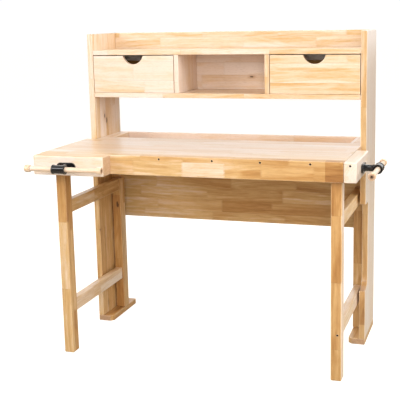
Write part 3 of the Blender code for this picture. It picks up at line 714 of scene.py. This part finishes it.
def threaded_bar(shape, start, length, radius):
    """A bar with a right-hand thread along +Z from start, in a bmesh."""
    count = int(length / THREAD_PITCH * RINGS_PER_TURN)
    core = radius - THREAD_DEPTH
    loops = []
    for index in range(count + 1):
        level = length * index / count
        fade = min(1.0, index / RINGS_PER_TURN, (count - index) / RINGS_PER_TURN)

        def radius_at(turn, level=level, fade=fade):
            phase = level / THREAD_PITCH - turn / (2 * math.pi)
            return core + THREAD_DEPTH * thread_outline(phase) * fade

        loops.append(ring(shape, radius_at, start + level))
    skin(shape, loops)
    shape.faces.new(list(reversed(loops[0])))
    shape.faces.new(loops[-1])


def turned(shape, profile):
    """A solid turned about Z from radius and height pairs, in a bmesh."""
    loops = [ring(shape, lambda turn, radius=radius: radius, level) for radius, level in profile]
    skin(shape, loops)
    shape.faces.new(list(reversed(loops[0])))
    shape.faces.new(loops[-1])


def tube(shape, centre, length, radius, bore, lip):
    """A hollow tube along X with a raised lip at each end, in a bmesh."""
    half = length / 2
    edge, bore_edge = 0.0008, 0.0006
    waist, slope = radius - 0.0012, 0.0010
    profile = [(radius - edge, -half), (radius, -half + edge), (radius, -half + lip),
               (waist, -half + lip + slope), (waist, half - lip - slope), (radius, half - lip),
               (radius, half - edge), (radius - edge, half), (bore + bore_edge, half),
               (bore, half - bore_edge), (bore, -half + bore_edge), (bore + bore_edge, -half)]
    loops = [ring(shape, lambda turn, reach=reach: reach, level) for reach, level in profile]
    skin(shape, loops + loops[:1])
    verts = [vert for loop in loops for vert in loop]
    bmesh.ops.transform(shape, matrix=Matrix.Translation(centre) @ Matrix.Rotation(math.pi / 2, 4, "Y"),
                        verts=verts)


def add_spindle(vise, axis, sign):
    """Threaded vise screw with its turned neck and the cross tube, in place of the plain solid."""
    node = vise + "_spindle"
    low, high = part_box(node)
    jaw_low, jaw_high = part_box(vise + "_jaw")
    length = high[axis] - low[axis]
    tip = high[axis] if sign < 0 else low[axis]
    jaw_face = jaw_low[axis] if sign < 0 else jaw_high[axis]
    head_radius = (high.z - low.z) / 2
    head = length - head_radius
    threaded = abs(jaw_face - tip) - THREAD_END_GAP
    collar = abs(jaw_face - tip) + 0.0010
    plain, neck, waist = 0.0089, NECK_RADIUS, NECK_RADIUS - 0.0012
    shape = bmesh.new()
    threaded_bar(shape, 0.0, threaded, SCREW_RADIUS)
    turned(shape, [(0.0085, threaded + 0.0002), (plain, threaded + 0.001), (plain, collar),
                   (neck, collar + 0.0005), (neck, collar + 0.0075), (waist, collar + 0.0095),
                   (waist, head - 0.019), (neck, head - 0.016), (neck, head - 0.0132)])
    tube(shape, Vector((0, 0, head)), CROSS_TUBE_LENGTH, head_radius, CROSS_TUBE_BORE, CROSS_TUBE_LIP)
    bmesh.ops.recalc_face_normals(shape, faces=shape.faces)
    mesh = bpy.data.meshes.new(vise + "_threaded_spindle")
    shape.to_mesh(mesh)
    shape.free()
    mesh.shade_smooth()
    mesh.set_sharp_from_angle(angle=math.radians(32))
    place = (low + high) / 2
    place[axis] = tip
    # The bar's +Z points out of the vise, and its cross tube lies level
    if sign < 0:
        turn = Matrix(((1, 0, 0), (0, 0, -1), (0, 1, 0))).to_4x4()
    else:
        turn = Matrix(((0, 0, 1), (1, 0, 0), (0, 1, 0))).to_4x4()
    obj = add_piece(vise + "_threaded_spindle", mesh, BLACK, vise.split("_")[0] + "_screw",
                    Matrix.Translation(place) @ turn)
    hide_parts(node)


# ---------------------------------------------------------------- surroundings

def add_floor():
    """Plain pale floor, just under the feet."""
    mesh = bpy.data.meshes.new("floor")
    shape = bmesh.new()
    bmesh.ops.create_grid(shape, x_segments=1, y_segments=1, size=30.0)
    shape.to_mesh(mesh)
    shape.free()
    floor = bpy.data.objects.new("floor", mesh)
    floor.location.z = -0.0006
    bpy.context.scene.collection.objects.link(floor)
    material, graph, shader = new_material("floor_paint")
    shader.inputs["Base Color"].default_value = (0.40, 0.36, 0.30, 1.0)
    shader.inputs["Roughness"].default_value = 0.9
    shader.inputs["Specular IOR Level"].default_value = 0.0
    shader.inputs["Emission Color"].default_value = (1.0, 1.0, 1.0, 1.0)
    seen = graph.node("LightPath").outputs["Is Camera Ray"]
    graph.put(shader.inputs["Emission Strength"], graph.math("MULTIPLY", seen, 0.90))
    mesh.materials.append(material)


def add_world():
    """White surroundings behind the bench, dimmer at the front where they show in gloss.

    Their light on matt surfaces is weaker and warmer.
    """
    world = bpy.data.worlds.new("studio")
    bpy.context.scene.world = world
    world.use_nodes = True
    graph = Graph(world.node_tree)
    background = world.node_tree.nodes["Background"]
    diffuse = graph.node("LightPath").outputs["Is Diffuse Ray"]
    seen = graph.node("LightPath").outputs["Is Camera Ray"]
    direction = graph.node("TexCoord").outputs["Generated"]
    depth = graph.node("SeparateXYZ", {0: direction}).outputs[1]
    gloss = graph.math("MAXIMUM", graph.step(depth, -0.5, 0.3, 0.35, 1.02), seen)
    strength = graph.node("Mix", {0: diffuse, 2: gloss, 3: WORLD_FILL}).outputs[0]
    tint = graph.mix(diffuse, (1.0, 1.0, 1.0, 1.0), (1.0, 0.88, 0.71, 1.0))
    graph.put(background.inputs["Color"], tint)
    graph.put(background.inputs["Strength"], strength)


def add_light(name, place, target, size, power, colour=(1.0, 1.0, 1.0), mirrored=True):
    """A large soft area light aimed at a point. One that isn't mirrored leaves no gloss spot."""
    data = bpy.data.lights.new(name, "AREA")
    data.shape = "SQUARE"
    data.size = size
    data.energy = power
    data.color = colour
    light = bpy.data.objects.new(name, data)
    light.location = place
    light.rotation_mode = "QUATERNION"
    light.rotation_quaternion = (Vector(target) - Vector(place)).to_track_quat("-Z", "Y")
    light.visible_glossy = mirrored
    bpy.context.scene.collection.objects.link(light)


def add_camera():
    """Camera at the photograph's angle."""
    data = bpy.data.cameras.new("camera")
    data.lens = CAMERA_LENS
    data.sensor_width = 36.0
    data.shift_x, data.shift_y = CAMERA_SHIFT
    data.clip_end = 100.0
    camera = bpy.data.objects.new("camera", data)
    bpy.context.scene.collection.objects.link(camera)
    ahead = Vector((-math.sin(CAMERA_YAW), math.cos(CAMERA_YAW), 0.0))
    right = Vector((math.cos(CAMERA_YAW), math.sin(CAMERA_YAW), 0.0))
    rise = Vector((0.0, 0.0, 1.0))
    forward = ahead * math.cos(CAMERA_PITCH) - rise * math.sin(CAMERA_PITCH)
    above = rise * math.cos(CAMERA_PITCH) + ahead * math.sin(CAMERA_PITCH)
    rolled_right = right * math.cos(CAMERA_ROLL) + above * math.sin(CAMERA_ROLL)
    rolled_up = above * math.cos(CAMERA_ROLL) - right * math.sin(CAMERA_ROLL)
    turn = Matrix((rolled_right, rolled_up, -forward)).transposed()
    camera.matrix_world = Matrix.Translation(CAMERA_PLACE) @ turn.to_4x4()
    bpy.context.scene.camera = camera


def add_surroundings():
    """Floor, light and camera."""
    add_floor()
    add_world()
    add_light("front", (0.7, -2.5, 1.30), (0.0, 0.0, 0.9), 1.1, 36.0, mirrored=False)
    add_light("upper", (0.1, -1.8, 2.6), (0.0, 0.1, 0.9), 1.3, 18.0)
    add_light("left", (-2.1, -1.9, 1.9), (0.0, 0.0, 0.8), 1.1, 38.0)
    add_light("right", (2.9, -0.5, 1.8), (0.3, 0.0, 0.9), 1.8, 86.0, (0.93, 0.97, 1.0),
              mirrored=False)
    add_light("back_right", (0.3, 2.7, 3.0), (0.2, 0.3, 0.6), 1.4, 26.0)
    add_light("back_left", (-1.2, 2.3, 3.3), (0.0, 0.3, 0.6), 1.4, 30.0)
    add_camera()
    bpy.context.scene.view_settings.view_transform = "Standard"


paint_carcass()
paint_bench_top()
paint_gates()
paint_drawers()
paint_vises()
hole_screws()
knob_screws()
flange_screws()
hinge_screws()
add_spindle("front_vise", 1, -1)
add_spindle("end_vise", 0, 1)
add_surroundings()
